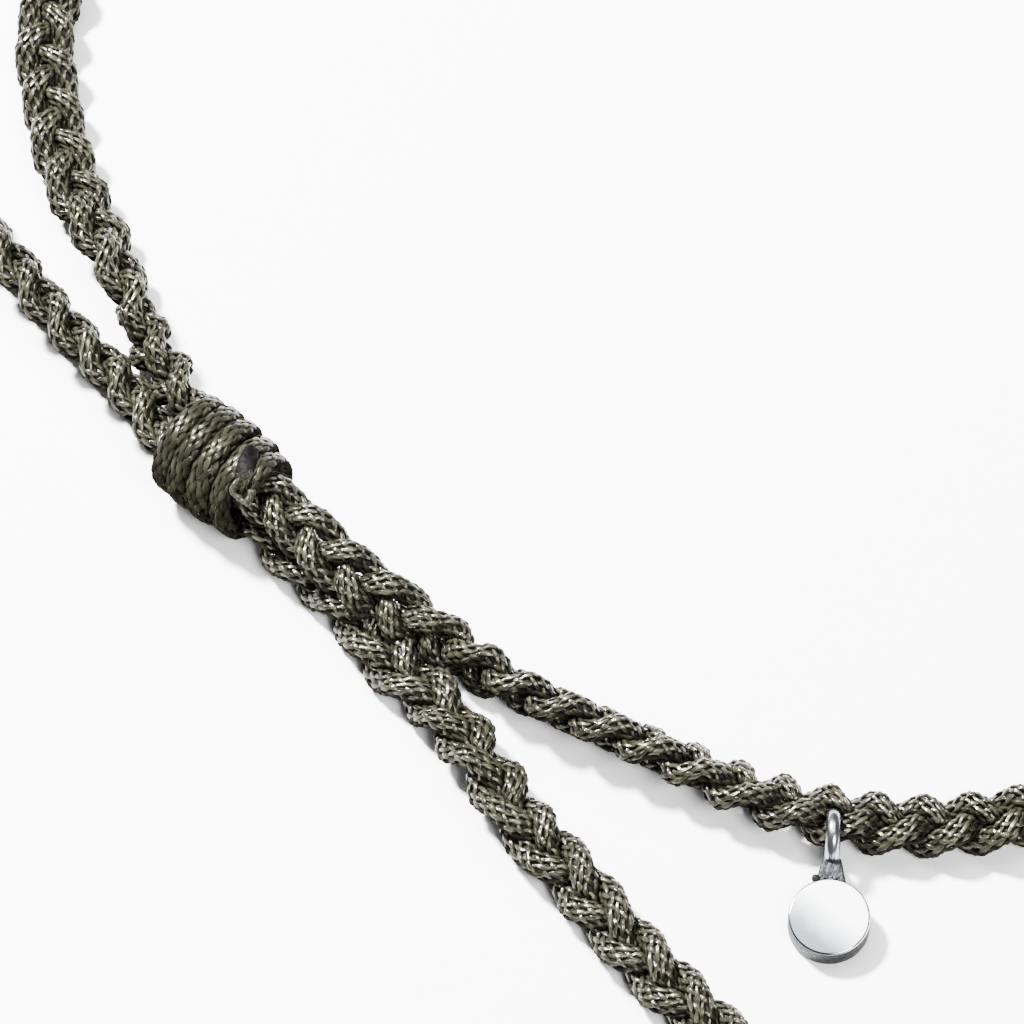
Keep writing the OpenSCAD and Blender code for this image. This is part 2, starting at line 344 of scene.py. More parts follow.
def cordReach(turns, angles, snug):     # from a cord's middle to its skin: a round cord pressed by the others
    middle = cordMiddle(turns)
    way = np.stack([np.cos(angles), np.sin(angles)], -1)
    turned = np.radians(turns)[:, None]
    half = np.array(plait["half"]) + np.array(plait["swell"]) * np.cos(2 * turned)
    reaches = [1 / np.linalg.norm(way / half, axis=1)]
    gap = plait["pressedGap"] * (1 - snug)
    for other in (-thirdTurn, thirdTurn):
        apart = cordMiddle(turns + other) - middle
        distance = np.linalg.norm(apart, axis=1)
        facing = np.maximum((way * apart).sum(1) / distance, plait["leastFacing"])
        reaches.append((distance - gap) / 2 / facing)
    for side, size in enumerate((plait["width"], plait["thickness"])):
        facing = np.maximum(np.abs(way[:, side]), plait["leastFacing"])
        reaches.append((size / 2 - np.sign(way[:, side]) * middle[:, side]) / facing)
    power = -plait["softness"]
    return (np.array(reaches) ** power).sum(0) ** (1 / power)


# Room for the tag's ring, which goes round one cord

tagSize = {
    "ring": (-0.0009, -0.0369, 0.0015), "ringD": 3.0 * mm, "wire": 0.75 * mm,
    "faceD": 4.0 * mm, "thickness": 1.3 * mm, "reach": 4.3 * mm,
    "neckWidth": (1.1 * mm, 1.6 * mm), "neckThickness": 0.9 * mm, "neckSink": 0.3 * mm,
    "lean": 7.8, "turn": -3.4, "play": 0.08 * mm,
}


def offRing(points):      # moves a cord's skin off the round wire of the tag's ring, the shortest way
    turned = math.radians(tagSize["turn"])
    axis = np.array([math.cos(turned), math.sin(turned), 0])
    apart = points - np.array(tagSize["ring"])
    along = apart @ axis
    aside = apart - along[:, None] * axis
    out = np.maximum(np.linalg.norm(aside, axis=1), 1e-9)
    wireMiddle = aside / out[:, None] * (tagSize["ringD"] - tagSize["wire"]) / 2
    fromWire = apart - wireMiddle
    distance = np.maximum(np.linalg.norm(fromWire, axis=1), 1e-9)
    clear = tagSize["wire"] / 2 + tagSize["play"]
    moved = np.array(tagSize["ring"]) + wireMiddle + fromWire * (clear / distance)[:, None]
    return np.where((distance < clear)[:, None], moved, points)


def strandLine(number):     # a strand's skin as a function of the length along it and the angle round it
    step = plait["turnStep"]
    turns = np.arange(plait["firstTurn"], lastTurn + step / 20, step)
    turns[-1] = lastTurn
    ownTurn = thirdTurn * number

    def middles(turnsHere):
        rows, across, face = braidFrame(turnsHere)
        flat = rows[:, snugColumn, None] ** plait["snugShare"] * cordMiddle(turnsHere + ownTurn)
        return rows[:, bySpot] + flat[:, :1] * across + flat[:, 1:] * face

    spots = middles(turns)
    lengths = np.concatenate([[0], np.cumsum(np.linalg.norm(np.diff(spots, axis=0), axis=1))])

    def skin(alongs, angles):
        turnsHere = np.interp(alongs, lengths, turns)
        rows, across, face = braidFrame(turnsHere)
        own = turnsHere + ownTurn
        snug = rows[:, snugColumn] ** plait["snugShare"]
        reach = cordReach(own, angles, snug)
        way = np.stack([np.cos(angles), np.sin(angles)], -1)
        flat = snug[:, None] * (cordMiddle(own) + reach[:, None] * way)
        points = rows[:, bySpot] + flat[:, :1] * across + flat[:, 1:] * face
        return offRing(points)

    def centre(alongs):
        return middles(np.interp(alongs, lengths, turns))

    return {"length": lengths[-1], "skin": skin, "centre": centre}


# The sliding wrap's coil: the same cord, wound round both passes of the braid. Some turns are pushed
# together or forward, and where two lie merged the cord is drawn wider.

wrapCoil = {
    "start": (-0.0329, -0.0145), "heading": -43, "height": 2.7 * mm, "turns": 4.6, "pitch": 1.15 * mm,
    "thick": 0.86 * mm, "roundness": 2.6, "across": (2.15 * mm, 2.35 * mm, 1.8 * mm),
    "high": (2.2 * mm, 2.3 * mm, 2.25 * mm), "endAngle": 132, "samples": 600,
    "counts": (0, 0.6, 1.6, 2.4, 2.7, 3.6, 3.8, 4.1, 4.35, 4.6),        # turns from the start
    "pushes": (0, -0.05, -0.1, -0.1, 0.1, 0.1, 0.45, 0.25, 0, 0.08),    # millimetres forward there
    "widths": (1.2, 1.2, 1.2, 1.2, 1.5, 1.1, 1.25, 1.1, 1.1, 1.1),      # millimetres
}


def ofThree(values, f):
    return values[0] * (1 - f) * (1 - 2 * f) + values[1] * 4 * f * (1 - f) + values[2] * f * (2 * f - 1)


def wrapLine():
    heading = math.radians(wrapCoil["heading"])
    along = np.array([math.cos(heading), math.sin(heading), 0])
    aside = np.array([-math.sin(heading), math.cos(heading), 0])
    up = np.array([0.0, 0.0, 1.0])
    start = np.array([*wrapCoil["start"], wrapCoil["height"]])

    def middles(f):
        count = wrapCoil["turns"] * f
        angle = np.radians(wrapCoil["endAngle"] - 360 * (wrapCoil["turns"] - count))
        outward = np.cos(angle)[:, None] * aside + np.sin(angle)[:, None] * up
        forward = wrapCoil["pitch"] * count + mm * np.interp(count, wrapCoil["counts"], wrapCoil["pushes"])
        spot = (start + forward[:, None] * along
                + (ofThree(wrapCoil["across"], f) * np.cos(angle))[:, None] * aside
                + (ofThree(wrapCoil["high"], f) * np.sin(angle))[:, None] * up)
        return spot, outward

    shares = np.linspace(0, 1, wrapCoil["samples"])
    spots = middles(shares)[0]
    lengths = np.concatenate([[0], np.cumsum(np.linalg.norm(np.diff(spots, axis=0), axis=1))])

    def skin(alongs, angles):
        f = np.interp(alongs, lengths, shares)
        spot, outward = middles(f)
        halfWide = mm * np.interp(wrapCoil["turns"] * f, wrapCoil["counts"], wrapCoil["widths"]) / 2
        power = wrapCoil["roundness"]
        reach = (np.abs(np.cos(angles) / halfWide) ** power
                 + np.abs(2 * np.sin(angles) / wrapCoil["thick"]) ** power) ** (-1 / power)
        return spot + (reach * np.cos(angles))[:, None] * along + (reach * np.sin(angles))[:, None] * outward

    def centre(alongs):
        return middles(np.interp(alongs, lengths, shares))[0]

    def fromSkin(alongs, sideways, above):      # points on and over the cord's outer side
        spot, outward = middles(np.interp(alongs, lengths, shares))
        return spot + sideways[:, None] * along + (wrapCoil["thick"] / 2 + above)[:, None] * outward

    return {"length": lengths[-1], "skin": skin, "centre": centre, "fromSkin": fromSkin}


# Round-braided cord: yarns wound both ways over each other on the skin of a line

cordWeave = {
    "yarnsEachWay": 7, "lay": 6.7 * mm, "straighten": 0.6,     # where a yarn shows, it runs straighter
    "halfWidth": 0.18 * mm, "narrowing": 0.24, "halfThick": 0.07 * mm, "lift": 0.055 * mm, "sink": 0.9,
    "ringPhases": (-0.24, 0.0, 0.24, 0.5),      # rings of one rise and fall of a yarn
    "profile": ((1, -0.8), (0.5, 0.9), (-0.5, 0.9), (-1, -0.8)),
    "sideJitter": 0.02 * mm, "liftJitter": 0.014 * mm, "jitterStep": 0.7 * mm, "tintStep": 0.91 * mm,
    "coreDepth": 0.2 * mm, "tableClear": 0.01 * mm, "seed": 20,
}
wrapWeave = cordWeave | {       # the wrap is pulled tight, which flattens its cord and its yarns
    "lay": 6.4 * mm, "halfWidth": 0.21 * mm, "narrowing": 0.15, "halfThick": 0.05 * mm, "lift": 0.028 * mm,
    "sideJitter": 0.03 * mm, "coreDepth": 0.1 * mm, "seed": 40,
}
coreMake = {"spacing": 0.45 * mm, "sides": 8, "deepest": 0.5}       # deepest is a share of the way in


def wander(rng, alongs, step, size):        # slow random drift along a yarn
    knots = np.arange(-1, alongs.max() / step + 3)
    return np.interp(alongs / step, knots, rng.normal(0, size, len(knots)))


def skinNormals(line, alongs, angles):
    stepAlong, stepAngle = 0.02 * mm, 0.02
    ahead = line["skin"](alongs + stepAlong, angles) - line["skin"](alongs - stepAlong, angles)
    about = line["skin"](alongs, angles + stepAngle) - line["skin"](alongs, angles - stepAngle)
    normals = unitRows(np.cross(about, ahead))
    outward = line["skin"](alongs, angles) - line["centre"](alongs)
    return normals * np.sign((normals * outward).sum(1))[:, None]


def yarnRings(line, weave, hand, number, rng):      # a yarn's corner points ring by ring, and its marks
    yarns = weave["yarnsEachWay"]
    period = weave["lay"] / yarns
    shift = 0 if hand > 0 else 0.5
    counts = np.arange(-1, math.ceil(line["length"] / period) + 1)
    phases = (counts[:, None] + np.array(weave["ringPhases"])[None, :]).ravel()
    alongs = (phases + shift) * period
    inside = (alongs > 0) & (alongs < line["length"])
    alongs, phases = alongs[inside], phases[inside]
    wave = np.cos(2 * math.pi * phases)

    def windAngles(alongsHere):
        back = weave["straighten"] / yarns * np.sin(2 * math.pi * (alongsHere / period - shift))
        wound = hand * (2 * math.pi * alongsHere / weave["lay"] - back)
        return wound + 2 * math.pi * number / yarns

    def middle(alongsHere):
        return line["skin"](alongsHere, windAngles(alongsHere))

    angles = windAngles(alongs)

    step = 0.03 * mm
    normals = skinNormals(line, alongs, angles)
    ahead = unitRows(middle(alongs + step) - middle(alongs - step))
    aside = unitRows(np.cross(normals, ahead))
    depth = weave["lift"] * (wave - 1) - weave["halfThick"] * weave["sink"]
    depth = depth + wander(rng, alongs, weave["jitterStep"], weave["liftJitter"])
    drift = wander(rng, alongs, weave["jitterStep"], weave["sideJitter"])
    spots = line["skin"](alongs, angles) + normals * depth[:, None] + aside * drift[:, None]
    width = weave["halfWidth"] * (1 + weave["narrowing"] * (wave - 1))
    corners = [spots + aside * (width * u)[:, None] + normals * (weave["halfThick"] * v)
               for u, v in weave["profile"]]
    # rise also darkens each yarn's colour where it dives, as painted shade
    marks = {"tint": wander(rng, alongs, weave["tintStep"], 1.0), "rise": wave, "upward": normals[:, 2]}
    return np.stack(corners, 1), alongs, marks


def braidedCord(name, line, weave, hand, material, seed):
    rng = np.random.default_rng(seed)
    sides = len(weave["profile"])
    across = np.array([(u + 1) / 2 for u, v in weave["profile"]])
    across = np.append(across, across[0])
    corners, faces, uvs = [], [], []
    marks = {"tint": [], "rise": [], "upward": []}
    count = 0
    for number in range(weave["yarnsEachWay"]):
        rings, alongs, marksHere = yarnRings(line, weave, hand, number, rng)
        along = alongs / mm
        faces += tubeFaces(len(rings), sides, count)
        uvs.append(tubeUvs(across, along))
        uvs.append(np.repeat([[0.5, along[0]], [0.5, along[-1]]], sides, 0))
        corners.append(rings.reshape(-1, 3))
        for title, values in marksHere.items():
            marks[title].append(np.repeat(values, sides))
        count += len(rings) * sides
    corners = np.concatenate(corners)
    corners[:, 2] = np.maximum(corners[:, 2], weave["tableClear"])
    made = newPiece(name, corners, faces, material)
    setUvs(made, np.concatenate(uvs))
    for title, values in marks.items():
        attribute = made.data.attributes.new(title, "FLOAT", "POINT")
        attribute.data.foreach_set("value", np.concatenate(values).astype(np.float32))
    made.data.shade_smooth()
    print(name, len(made.data.polygons), "faces")
    return made


def cordCore(name, line, weave, material):      # the cord's inside, seen between its yarns; its near-black colour is painted shade
    count = int(line["length"] / coreMake["spacing"])
    sides = coreMake["sides"]
    alongs = np.repeat(np.linspace(0, line["length"], count), sides)
    angles = np.tile(roundAngles(sides), count)
    points = line["skin"](alongs, angles)
    inward = line["centre"](alongs) - points
    far = np.linalg.norm(inward, axis=1)
    depth = np.minimum(weave["coreDepth"], far * coreMake["deepest"])
    points = points + inward * (depth / far)[:, None]
    points[:, 2] = np.maximum(points[:, 2], weave["tableClear"])
    made = newPiece(name, points, tubeFaces(count, sides), material)
    made.data.shade_smooth()
    return made


def dressCord(title, line, weave, materials, seed, node):     # yarns of both hands, and the core
    yarnMaterial, coreMaterial = materials
    for hand, side in ((1, "right"), (-1, "left")):
        yarns = braidedCord(title + "_" + side + "_yarns", line, weave, hand, yarnMaterial, seed + (hand > 0))
        place(yarns, node)
    place(cordCore(title + "_core", line, weave, coreMaterial), node)
    print(title, "cord length in millimetres", round(line["length"] / mm, 1))


# Nylon of the yarns: glossy multifilament of two plies, khaki grey, dyed a little unevenly. Its filaments
# give bright streaks along each yarn, and where yarns dive under each other painted shade darkens its colour.

nylonIor = 1.53
nylonLook = {
    "colors": ("#0c0b09", "#28271e"), "colorEnds": (0.1, 0.95), "grain": (0.9, 0.05), "tintShare": 0.22,
    "filaments": (9.0, 1.1, 1.0), "noiseScale": 1.6, "noiseDetail": 2.0, "filamentRange": (0.35, 0.65),
    # gapShade is painted shade: the share of the colour left where a yarn dives deepest
    "plyDepth": 0.012 * mm, "filamentShare": 0.6, "gapShade": 0.4, "gapRange": (-0.7, 0.6),
    "roughness": (0.36, 0.06), "sheen": "#f2e9d0", "level": 0.65, "crestPower": 2.0,
    "upwardRange": (0.1, 0.8),       # the sheen fades from the top of the cord to its sides, painted shade where they would mirror the bright table
}
pressedLook = nylonLook | {      # the wrap's yarns are pressed and rubbed, so they shine less; painted shade takes the sheen off more of their sides
    "colors": ("#0b0a08", "#201f17"), "roughness": (0.3, 0.12), "level": 0.2, "upwardRange": (0.45, 0.95),
}


def nylonYarn(name, look):
    made, tree = newMaterial(name)
    uv = addNode(tree, "ShaderNodeUVMap", {"uv_map": "yarn"}).outputs["UV"]
    tint = addNode(tree, "ShaderNodeAttribute", {"attribute_name": "tint"}).outputs["Fac"]
    rise = addNode(tree, "ShaderNodeAttribute", {"attribute_name": "rise"}).outputs["Fac"]
    upward = addNode(tree, "ShaderNodeAttribute", {"attribute_name": "upward"}).outputs["Fac"]
    stretch = addNode(tree, "ShaderNodeMapping", {"Scale": look["filaments"]}, {"Vector": uv})
    filaments = addNoise(tree, stretch.outputs["Vector"], look["noiseScale"], look["noiseDetail"])
    grain = addMath(tree, "MULTIPLY_ADD", filaments, *look["grain"])
    toned = addMath(tree, "MULTIPLY_ADD", tint, look["tintShare"], grain)
    color = addRamp(tree, toned, look["colors"], look["colorEnds"])
    # painted shade: the colour darkens as a yarn dives under its neighbours
    depth = addRange(tree, rise, look["gapRange"], (look["gapShade"], 1.0))
    shaded = addNode(tree, "ShaderNodeMix", {"data_type": "RGBA", "blend_type": "MULTIPLY", 0: 1.0},
                     {6: color, 7: depth})

    across = addNode(tree, "ShaderNodeSeparateXYZ", links={"Vector": uv}).outputs["X"]
    twoHumps = addMath(tree, "SINE", addMath(tree, "MULTIPLY", across, 2 * math.pi))
    plies = addMath(tree, "ABSOLUTE", twoHumps)
    height = addMath(tree, "MULTIPLY_ADD", filaments, look["filamentShare"], plies)

    # painted shade: the sheen keeps to each yarn's crest and fades on its flanks, where they would mirror the
    # table
    crest = addMath(tree, "SINE", addMath(tree, "MULTIPLY", across, math.pi))
    narrow = addMath(tree, "POWER", crest, look["crestPower"])
    gloss = addRange(tree, upward, look["upwardRange"], (0.0, look["level"]))
    shader = addNode(tree, "ShaderNodeBsdfPrincipled",
                     {"IOR": nylonIor, "Specular Tint": hexColor(look["sheen"])},
                     {"Base Color": shaded.outputs[2],
                      "Roughness": addRange(tree, filaments, look["filamentRange"], look["roughness"]),
                      "Specular IOR Level": addMath(tree, "MULTIPLY", narrow, gloss)})
    finishMaterial(tree, shader, addBump(tree, height, look["plyDepth"]))
    return made


def nylonShader(tree, look, color):
    return addNode(tree, "ShaderNodeBsdfPrincipled",
                   {"Roughness": look["roughness"], "IOR": nylonIor, "Specular IOR Level": look["level"]},
                   {"Base Color": color})


def plainNylon(name, look):     # nylon without visible yarns, a little uneven in colour
    made, tree = newMaterial(name)
    where = addNode(tree, "ShaderNodeTexCoord").outputs["Object"]
    grain = addNoise(tree, where, look["scale"], look["detail"])
    color = addRamp(tree, grain, look["colors"], look.get("colorEnds", (0.0, 1.0)))
    bump = addBump(tree, grain, look["lumps"]) if "lumps" in look else None
    finishMaterial(tree, nylonShader(tree, look, color), bump)
    return made


# Insides of the cords: straight nylon ends, coloured near black as painted shade between the yarns
insideLook = {"scale": 9000.0, "detail": 1.0, "roughness": 0.7, "level": 0.2}

yarnNylon = nylonYarn("nylonYarn", nylonLook)
wrapNylon = nylonYarn("wrapNylon", pressedLook)
shadedCoreNylon = plainNylon("nylonCore", insideLook | {"colors": ("#070605", "#14120e")})
shadedWrapCoreNylon = plainNylon("wrapCore", insideLook | {"colors": ("#090806", "#16140e")})

# Strands
strands = {"strand_" + letter: strandLine(number) for number, letter in enumerate("abc")}
for number, (node, line) in enumerate(strands.items()):
    dressCord(node, line, cordWeave, (yarnNylon, shadedCoreNylon), cordWeave["seed"] + 2 * number, node)
print("strands made")

# Wrap
coil = wrapLine()
dressCord("wrap", coil, wrapWeave, (wrapNylon, shadedWrapCoreNylon), wrapWeave["seed"], "slide_wrap")
print("wrap made")


# Cut end of the wrap: a slanting cut, melted dark at its upper side, with frayed filaments in its middle
# and a rolled lip round its lower side. Sizes go along the cord, aside and up from it.

cutMiddle = coil["length"] - 1.0 * mm       # along the cord

cutMelt = {
    "half": (1.35 * mm, 0.55 * mm, 0.13 * mm), "rings": 14, "sides": 28, "slant": 0.45, "aside": -0.45 * mm,
    "lumps": 0.25, "lumpsRound": 3, "lumpsAlong": 2.3, "droop": 0.3 * mm,
}
cutLip = {
    "yarns": 3, "radius": 0.15 * mm, "swellings": 3, "unevenness": (0.85, 0.15), "sides": 10, "samples": 49,
    "halfBend": 125, "reach": (0.55 * mm, 0.5225 * mm), "ahead": 0.45 * mm, "shift": (0.3 * mm, 0.12 * mm),
    "twists": 3, "roll": 0.16, "height": (0.14 * mm, 0.09 * mm), "droop": 0.2 * mm,     # middle, up and down
}
cutFray = {
    "count": 110, "radius": 0.011 * mm, "thinning": 0.4, "sides": 4, "samples": 5,
    "length": (0.2 * mm, 0.5 * mm), "fan": 0.5, "startAlong": (-0.15, 0.4), "startAside": (-0.6, 0.6),
    "aside": -0.2 * mm, "height": 0.12 * mm, "rise": (0.1, 0.7), "fall": 0.45, "seed": 83,
}
lipNylon = plainNylon("lipNylon", {
    "colors": ("#0b0a08", "#2b2a1e"), "scale": 3000.0, "detail": 2.0, "roughness": 0.3, "level": 0.1})

# Nylon melted by a flame: nearly black and lumpy, with a reddish brown cast
meltedNylon = plainNylon("meltedNylon", {
    "colors": ("#020202", "#0e0a0a"), "colorEnds": (0.4, 0.75), "scale": 2600.0, "detail": 3.0,
    "lumps": 0.08 * mm, "roughness": 0.5, "level": 0.02})


def drooping(along, size):      # how far the cut's far side hangs down
    return size * np.clip(along / cutMelt["half"][0], 0, 1) ** 2


def addCutMelt():       # a flat lumpy drop along the cord
    long, wide, high = cutMelt["half"]
    turned = (math.pi * (np.arange(cutMelt["rings"]) + 0.5) / cutMelt["rings"])[:, None]
    about = roundAngles(cutMelt["sides"])[None]
    waves = np.sin(cutMelt["lumpsRound"] * about) * np.sin(cutMelt["lumpsAlong"] * turned)
    along = np.repeat(-long * np.cos(turned), cutMelt["sides"], 1)
    aside = wide * np.sin(turned) * np.cos(about) + cutMelt["slant"] * along + cutMelt["aside"]
    above = high * np.sin(turned) * np.sin(about) * (1 + cutMelt["lumps"] * waves)
    above = above - drooping(along, cutMelt["droop"])
    points = coil["fromSkin"](cutMiddle + along.ravel(), aside.ravel(), above.ravel())
    return joinTubes("wrap_melted_cut", [ringTube(points.reshape(*along.shape, 3))], meltedNylon)


def addCutLip():        # yarns rolled together round the lower side of the cut
    share = np.linspace(-1, 1, cutLip["samples"])
    bend = share * math.radians(cutLip["halfBend"])
    reachAlong, reachAside = cutLip["reach"]
    shiftAlong, shiftAside = cutLip["shift"]
    middleHeight, rollHeight = cutLip["height"]
    mean, swing = cutLip["unevenness"]
    tubes = []
    for number in range(cutLip["yarns"]):
        twist = share * math.pi * cutLip["twists"] + 2 * math.pi * number / cutLip["yarns"]
        out = 1 + cutLip["roll"] * np.cos(twist)
        along = reachAlong * np.cos(bend) * out + cutLip["ahead"]
        aside = reachAside * np.sin(bend) * out
        above = middleHeight + rollHeight * np.sin(twist) - drooping(along, cutLip["droop"])
        path = coil["fromSkin"](cutMiddle + along + shiftAlong, aside + shiftAside, above)
        swelling = mean + swing * np.cos(2 * math.pi * cutLip["swellings"] * share + number)
        tubes.append(tubeRound(path, cutLip["radius"] * swelling, cutLip["sides"]))
    return joinTubes("wrap_cut_lip", tubes, lipNylon)


def addCutFray():       # broken filaments, fanned down over the cut
    rng = np.random.default_rng(cutFray["seed"])
    long, wide = cutMelt["half"][:2]
    share = np.linspace(0, 1, cutFray["samples"])
    tubes = []
    for number in range(cutFray["count"]):
        size = rng.uniform(*cutFray["length"])
        way = rng.normal(0, cutFray["fan"])
        startAlong = rng.uniform(*cutFray["startAlong"]) * long
        startAside = rng.uniform(*cutFray["startAside"]) * wide + cutFray["aside"]
        along = startAlong + size * np.cos(way) * share
        aside = startAside + size * np.sin(way) * share
        arch = rng.uniform(*cutFray["rise"]) * share - cutFray["fall"] * share ** 2
        path = coil["fromSkin"](cutMiddle + along, aside, cutFray["height"] + size * arch)
        tubes.append(tubeRound(path, cutFray["radius"] * (1 - cutFray["thinning"] * share), cutFray["sides"]))
    return joinTubes("wrap_frayed_filaments", tubes, lipNylon)


# Fuzz: short broken filaments that stand off the cords, too fine to show unless drawn a little coarse

fuzz = {
    "count": 260, "wrapCount": 60, "between": (0.02, 0.98), "length": (0.25 * mm, 0.8 * mm), "lean": 1.2,
    "curl": 0.5, "radius": 0.007 * mm, "thinning": 0.6, "shares": (0, 0.35, 0.7, 1), "sides": 3,
    "aheadStep": 0.1 * mm, "slanted": (0.3, 0.5, 0.8), "tableClear": 0.02 * mm, "seed": 71,
}
fuzzNylon = plainNylon("fuzzNylon", {
    "colors": ("#0b0a08", "#38352c"), "scale": 3000.0, "detail": 2.0, "roughness": 0.35, "level": 0.3})


def addFuzz(name, line, count, rng):
    alongs = rng.uniform(*fuzz["between"], count) * line["length"]
    angles = rng.uniform(0, 2 * math.pi, count)
    roots = line["skin"](alongs, angles)
    ahead = unitRows(line["skin"](alongs + fuzz["aheadStep"], angles) - roots)
    lengths = rng.uniform(*fuzz["length"], count)[:, None]
    leans = rng.uniform(-fuzz["lean"], fuzz["lean"], count)[:, None]
    ways = unitRows(skinNormals(line, alongs, angles) + leans * ahead)
    bends = rng.normal(0, fuzz["curl"], (count, 3))
    asides = unitRows(np.cross(ways, fuzz["slanted"]))
    others = np.cross(ways, asides)
    share = np.array(fuzz["shares"])[:, None]
    turned = roundAngles(fuzz["sides"])[:, None]
    radius = fuzz["radius"] * (1 - fuzz["thinning"] * share)[:, None]
    tubes = []
    for root, way, length, bend, aside, other in zip(roots, ways, lengths, bends, asides, others):
        spots = root + way * length * share + bend * length * share ** 2
        spots[:, 2] = np.maximum(spots[:, 2], fuzz["tableClear"])
        outward = np.cos(turned) * aside + np.sin(turned) * other
        tubes.append(ringTube(spots[:, None] + radius * outward))
    made = joinTubes(name, tubes, fuzzNylon)
    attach(made, "root")


fuzzRng = np.random.default_rng(fuzz["seed"])
for node, line in strands.items():
    addFuzz(node + "_fuzz", line, fuzz["count"], fuzzRng)
addFuzz("wrap_fuzz", coil, fuzz["wrapCount"], fuzzRng)
print("fuzz made")

for made in (addCutMelt(), addCutLip(), addCutFray()):
    place(made, "slide_wrap")
print("cut end made")


# Whippings: waxed thread in close turns round each tail's end

whipping = {
    "d": 3.4 * mm, "thread": 0.38 * mm, "length": 3.0 * mm, "bound": {"left": 1, "right": lastRow - 1},
    "sides": 8, "perTurn": 36,
}
tailEnd = {
    "d": 2.74 * mm, "foot": -1.15 * mm, "tip": 1.7 * mm, "rings": 15, "sides": 36,
    "tipRoundness": 14, "tipLeast": 0.01, "footRoundness": 12, "footShare": 0.2,
    "lump": 0.09 * mm, "lumpsRound": 3, "lumpsFrom": 0.4, "lumpPower": 4,
}
threadLook = {
    "slant": (3.0, 2.2, 0.0), "colors": ("#0c0b08", "#232118"), "plyDepth": 0.03 * mm, "bump": 0.8,
    "roughness": 0.42, "level": 0.25,
}


def whippingFrame(side):        # middle of the bound stretch, and directions along it, aside and up
    bound = whipping["bound"][side]
    here = routeRows[bound, bySpot]
    along = routeRows[bound + 1, bySpot] - routeRows[bound - 1, bySpot]
    along = np.array([along[0], along[1], 0]) / math.hypot(along[0], along[1])
    aside = np.array([-along[1], along[0], 0])
    return here, along, aside, np.array([0.0, 0.0, 1.0])


def whippingLine(side):
    here, along, aside, up = whippingFrame(side)
    drawn = whipping["length"] - whipping["thread"]
    turns = drawn / whipping["thread"]
    middleD = whipping["d"] - whipping["thread"]
    count = int(turns * whipping["perTurn"])
    share = np.arange(count + 1) / count
    angle = 2 * math.pi * turns * share
    outward = np.outer(np.cos(angle), aside) + np.outer(np.sin(angle), up)
    spots = here + np.outer((share - 0.5) * drawn, along) + middleD / 2 * outward
    return spots, outward, np.tile(along, (count + 1, 1)), angle


def addWhipping(side, material):
    spots, outward, along, angle = whippingLine(side)
    sides = whipping["sides"]
    turned = roundAngles(sides)[None, :, None]
    radius = whipping["thread"] / 2
    rings = (spots[:, None] + radius * np.cos(turned) * outward[:, None]
             - radius * np.sin(turned) * along[:, None])
    made = joinTubes("whipping_" + side + "_thread", [ringTube(rings)], material)
    sheets = tubeUvs(np.arange(sides + 1) / sides, angle * whipping["d"] / 2 / mm)
    setUvs(made, np.concatenate([sheets, np.zeros((2 * sides, 2))]))
    place(made, "whipping_" + side)


def addTailEnd(side):      # the tail's three cords melted into one lumpy end, which fills the whipping
    here, along, aside, up = whippingFrame(side)
    outward = 1 if side == "right" else -1
    share = np.linspace(0, 1, tailEnd["rings"])[:, None]
    about = roundAngles(tailEnd["sides"])[None]
    tipShare = np.clip(1 - share ** tailEnd["tipRoundness"], tailEnd["tipLeast"], 1) ** 0.5
    footShare = np.clip(1 + tailEnd["footShare"] - (1 - share) ** tailEnd["footRoundness"], 0, 1)
    reach = tailEnd["d"] / 2 * tipShare * footShare
    lumps = tailEnd["lump"] * np.sin(tailEnd["lumpsRound"] * about + tailEnd["lumpsFrom"])
    depth = tailEnd["foot"] + (tailEnd["tip"] - tailEnd["foot"]) * share
    depth = depth + lumps * share ** tailEnd["lumpPower"]
    rings = (here + outward * depth[:, :, None] * along + (reach * np.cos(about))[:, :, None] * aside
             + outward * (reach * np.sin(about))[:, :, None] * up)
    end = joinTubes("tail_end_" + side, [ringTube(rings)], meltedNylon)
    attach(end, "root")


def waxedThread(name, look):      # fine nylon thread, twisted and waxed: slanted plies, with painted shade in their grooves, and a dull shine
    made, tree = newMaterial(name)
    uv = addNode(tree, "ShaderNodeUVMap", {"uv_map": "yarn"}).outputs["UV"]
    plies = addMath(tree, "SINE", addMath(tree, "MULTIPLY", addDot(tree, uv, look["slant"]), 2 * math.pi))
    # painted shade: the colour follows the plies, darkest in the grooves between them
    shader = nylonShader(tree, look, addRamp(tree, plies, look["colors"]))
    finishMaterial(tree, shader, addBump(tree, plies, look["plyDepth"], look["bump"]))
    return made


thread = waxedThread("waxedThread", threadLook)
for side in ("left", "right"):
    addWhipping(side, thread)
    addTailEnd(side)
print("whippings made")


# Silver tag: a thick round disc with a polished face, soldered to a neck and a round wire ring. The sizes
# of its making are in millimetres.

tagMake = {
    "rim": 0.12, "rimSegments": 4, "roundFaces": 128, "wireFaces": 28, "waist": 0.82,
    "neckRounding": 0.12, "neckSegments": 3, "sharpAngle": 40,
    "bead": {"at": (-0.74, -2.24, 0.36), "d": 0.42}, "beadFaces": (24, 16),
    "pits": ((-0.28, -2.3), (0.26, -2.3)), "pitD": 0.2, "pitFaces": (20, 12),
    "spare": 0.02, "ringBelow": 0.05,       # how far past the disc and the ring their finishes reach
    "polishedRim": 0.6,                     # share of the rounded rim that is polished with the face
}
silverMake = {
    # shadeSlope paints shade that darkens the tag toward its lower side
    "roughnessShares": (0.6, 1.4), "detail": 4.0, "shadeSlope": (-200.0, -230.0, 0.0),
    "faceAside": 0.25 * mm,     # as the tag is turned, its face lies this far aside of its ring
}


